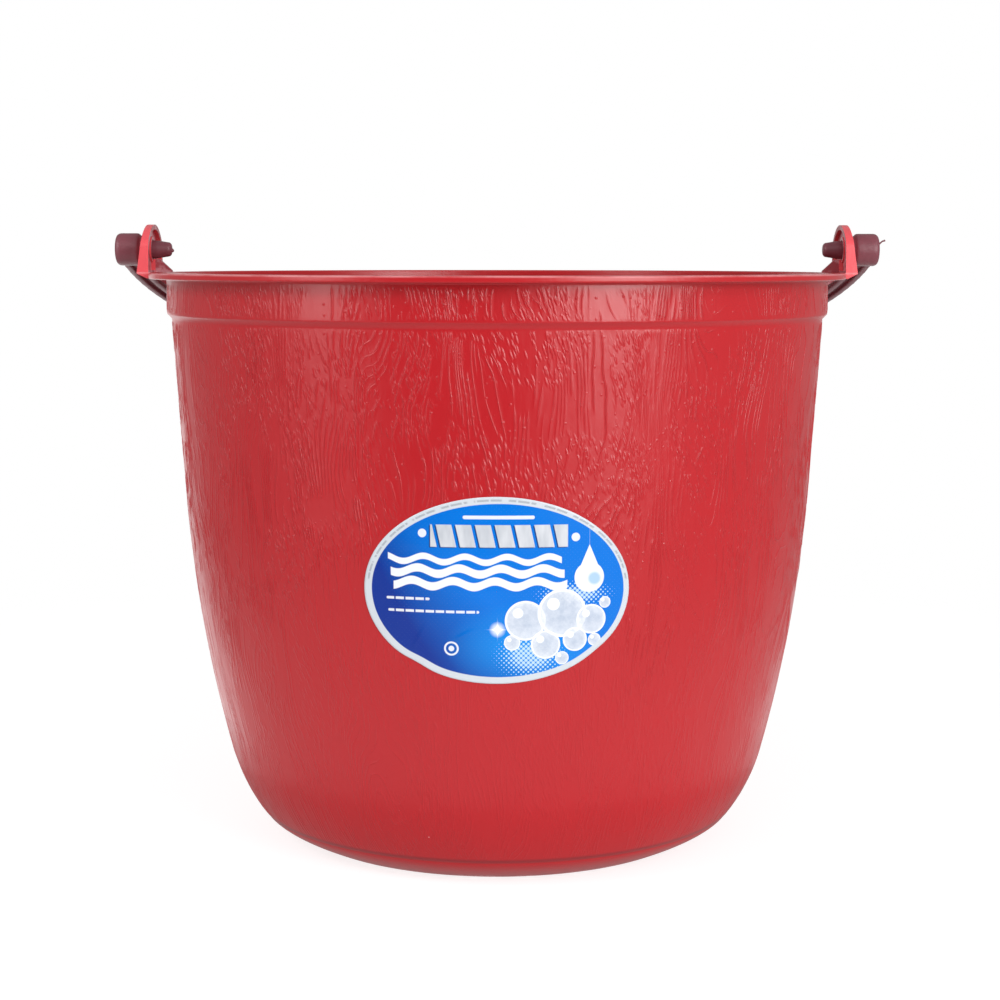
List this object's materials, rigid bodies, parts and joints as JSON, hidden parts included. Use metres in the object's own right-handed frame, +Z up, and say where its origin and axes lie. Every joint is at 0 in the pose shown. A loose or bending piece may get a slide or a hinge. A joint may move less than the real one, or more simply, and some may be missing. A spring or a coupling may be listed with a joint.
{
  "type": "wash bucket",
  "caption": "Round moulded wash bucket with a flanged rim, rounded base, wood-grain wall, an oval label and a swinging bail handle on side ears.",
  "frame": {"origin": "on the bucket's axis, in the plane of the standing ring that rests on the floor", "axes": "+Z up along the bucket's axis, +X through the ear on the right as seen from the front, -Y out of the front where the label is; the bail hangs towards +Y"},
  "size_m": [0.364, 0.3307, 0.2906],
  "materials": {
    "bucket": "semi-gloss injection-moulded red plastic with raised wood grain on the wall and collar",
    "handle": "satin maroon plastic",
    "label": "glossy blue printed film with a silver-grey border"
  },
  "bodies": {
    "bucket": {"bucket_body": "bucket", "label": "label"},
    "bail": {"bail_handle": "handle"}
  },
  "joints": [
    {"name": "bail_swing", "type": "hinge", "parent": "bucket", "child": "bail", "pos_m": [0, 0, 0.2788], "axis": [1, 0, 0], "range_deg": [0, 224]}
  ]
}
